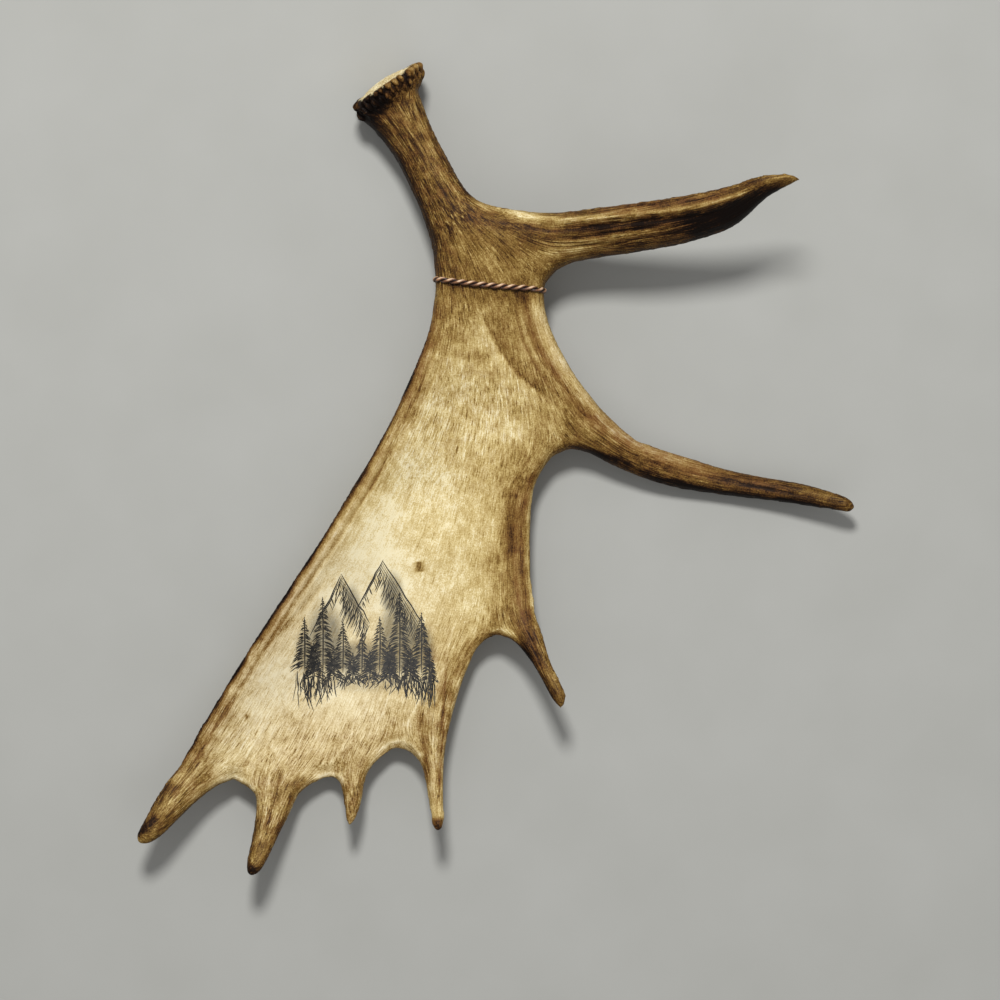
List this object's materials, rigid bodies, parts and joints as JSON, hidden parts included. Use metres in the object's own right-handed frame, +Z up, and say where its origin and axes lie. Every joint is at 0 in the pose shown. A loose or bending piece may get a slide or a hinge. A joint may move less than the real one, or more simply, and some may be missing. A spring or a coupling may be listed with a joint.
{
  "type": "moose antler",
  "caption": "Shed moose antler with a dished palm, brow tine, side tine and points, a pearled burr, and a twisted cord tied round its neck.",
  "frame": {"origin": "on the surface that the antler lies on, below the middle of its box", "axes": "+Z up from that surface, +X towards the tips of the brow tine and the side tine, +Y towards the burr"},
  "size_m": [0.717, 0.8108, 0.146],
  "materials": {
    "antler": "satin bone, pale in the palm and brown on the shaft and tines",
    "cord": "satin twisted cord"
  },
  "bodies": {
    "root": {"beam": "antler", "brow_tine": "antler", "palm": "antler", "side_tine": "antler", "point_1": "antler", "point_2": "antler", "point_3": "antler", "point_4": "antler", "point_5": "antler", "cord_wrap": "cord"}
  },
  "joints": []
}
